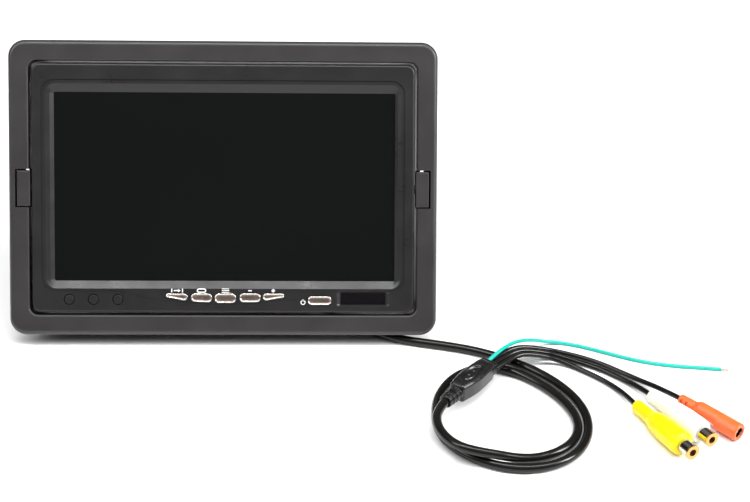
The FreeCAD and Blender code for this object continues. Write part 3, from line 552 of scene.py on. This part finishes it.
def split_relief(u, v, w):
    """Raised rim, oval groove and two small dimples on the top face; shallower below."""
    if abs(w) < SPLIT_DEEP - 1.2:
        return 0.0
    inset = min(split_half(u) - abs(v), u + 13.6, 17.6 - u)
    rim = ease(inset, 0.9, 1.5) * (1 - ease(inset, 2.1, 2.7))
    oval = math.hypot((u - 1.0) / 9.4, v / 3.9)
    groove = ease(oval, 0.56, 0.74) * (1 - ease(oval, 0.86, 1.02))
    lip = ease(oval, 0.92, 1.04) * (1 - ease(oval, 1.08, 1.25))
    move = 0.30 * rim - 0.80 * groove + 0.25 * lip
    for centre in (-1.4, 3.4):
        move -= 0.45 * (1 - ease(math.hypot(u - centre, v), 0.5, 1.0))
    return move if w > 0 else -0.5 * move


def splitter():
    bm = bmesh.new()
    sections = []
    steps = 124
    for k in range(steps + 1):
        u = -13.6 + 31.2 * k / steps
        end = min(u + 13.6, 17.6 - u)
        pinch = 1.3 * (1 - math.sqrt(max(1 - (1 - min(end / 1.3, 1.0)) ** 2, 0.0)))
        deep = SPLIT_DEEP - pinch
        sections.append((u, ring_section(split_half(u) - pinch, -deep, deep, 1.9, 26)))
    loft(bm, sections, split_relief)
    tail = []
    for k in range(97):
        u = -24.5 + 12.6 * k / 96
        radius = 3.9 + 0.6 * (u + 24.5) / 12.6
        for first in (-22.3, -19.1, -15.9):
            radius -= 0.75 * ease(u, first - 0.25, first + 0.2) * (1 - ease(u, first + 1.0, first + 1.45))
        radius -= 0.4 * (1 - ease(u, -24.5, -24.0))
        ring = [(radius * math.cos(2 * math.pi * i / 48), radius * math.sin(2 * math.pi * i / 48))
                for i in range(48)]
        tail.append((u, ring))
    loft(bm, tail)
    neck = []
    for k in range(13):
        u = 16.0 + 4.5 * k / 12
        pinch = 0.5 * ease(u, 19.7, 20.5)
        neck.append((u, ring_section(5.2 - pinch, -3.2 + pinch, 4.2 - pinch, 1.3, 8)))
    loft(bm, neck)
    body = finished("splitter_body", bm, angle=50.0)
    dress(body, "splitter_black")
    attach(body, "surround")
    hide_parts("lead_splitter")
    return body


splitter_body = splitter()

# ---------------------------------------------------------------- branch cords, looked up again; nothing is set on them

for which, points, size in (("power", POWER, 0.138), ("white", WHITE, 0.115), ("yellow", YELLOW, 0.109)):
    cord, line = branches[which]

# ---------------------------------------------------------------- floor and lights


def pale_stage():
    bm = bmesh.new()
    back = 6.2
    profile = [(-9.0, 0.0)] + [(back + 0.8 * math.sin(a), 0.8 * (1 - math.cos(a)))
                               for a in [math.pi / 2 * k / 16 for k in range(17)]] + [(back + 0.8, 3.0)]
    rows = []
    for x in (-9.0, 9.0):
        rows.append([bm.verts.new((x, y, FLOOR + z)) for y, z in profile])
    for a, b, c, d in zip(rows[0], rows[0][1:], rows[1][1:], rows[1]):
        bm.faces.new((a, d, c, b))
    stage = finished("stage", bm)
    mat = bpy.data.materials.new("stage_white")
    mat.use_nodes = True
    shader = mat.node_tree.nodes["Principled BSDF"]
    shader.inputs["Base Color"].default_value = (0.93, 0.93, 0.93, 1.0)
    shader.inputs["Roughness"].default_value = 0.9
    shader.inputs["Specular IOR Level"].default_value = 0.1
    stage.data.materials.append(mat)


def soft_light(name, where, at, size, power, colour=(1.0, 1.0, 1.0)):
    data = bpy.data.lights.new(name, "AREA")
    data.shape = "RECTANGLE"
    data.size, data.size_y = size
    data.energy = power
    data.color = colour
    lamp = link(name, data)
    aim = (Vector(at) - Vector(where)).normalized()
    lamp.matrix_world = Matrix.Translation(where) @ aim.to_track_quat("-Z", "Y").to_matrix().to_4x4()


SKY_EDGE = (0.50, 0.76)           # the upward direction component over which the sky brightens
SKY_LEVEL = (0.50, 18.0)          # its strength below and above that
SKY_BEHIND = (0.10, 0.50, 0.22)   # the away component over which it dims, and the share that is left


def overhead_sky():
    """A studio sky: bright above, dim at the level of the camera and below."""
    world = bpy.data.worlds.new("studio")
    world.use_nodes = True
    tree = world.node_tree
    place = tree.nodes.new("ShaderNodeTexCoord")
    split = tree.nodes.new("ShaderNodeSeparateXYZ")
    rise = tree.nodes.new("ShaderNodeMapRange")
    rise.interpolation_type = "SMOOTHSTEP"
    rise.inputs["From Min"].default_value = SKY_EDGE[0]
    rise.inputs["From Max"].default_value = SKY_EDGE[1]
    rise.inputs["To Min"].default_value = SKY_LEVEL[0]
    rise.inputs["To Max"].default_value = SKY_LEVEL[1]
    behind = tree.nodes.new("ShaderNodeMapRange")
    behind.interpolation_type = "SMOOTHSTEP"
    behind.inputs["From Min"].default_value = SKY_BEHIND[0]
    behind.inputs["From Max"].default_value = SKY_BEHIND[1]
    behind.inputs["To Min"].default_value = 1.0
    behind.inputs["To Max"].default_value = SKY_BEHIND[2]
    both = tree.nodes.new("ShaderNodeMath")
    both.operation = "MULTIPLY"
    tree.links.new(place.outputs["Generated"], split.inputs["Vector"])
    tree.links.new(split.outputs["Z"], rise.inputs["Value"])
    tree.links.new(split.outputs["Y"], behind.inputs["Value"])
    tree.links.new(rise.outputs["Result"], both.inputs[0])
    tree.links.new(behind.outputs["Result"], both.inputs[1])
    tree.links.new(both.outputs["Value"], tree.nodes["Background"].inputs["Strength"])
    bpy.context.scene.world = world


pale_stage()
overhead_sky()
soft_light("strip", (0.1, -0.35, 1.7), (0.1, -0.1, 0.0), (2.2, 0.22), 34)
soft_light("left", (-1.2, -0.5, 1.0), (0.0, -0.05, 0.0), (0.5, 0.9), 9)
soft_light("right", (1.4, -0.4, 0.8), (0.1, -0.1, 0.0), (0.4, 0.8), 26)
bpy.context.scene.view_settings.view_transform = "Standard"

bpy.context.view_layer.update()
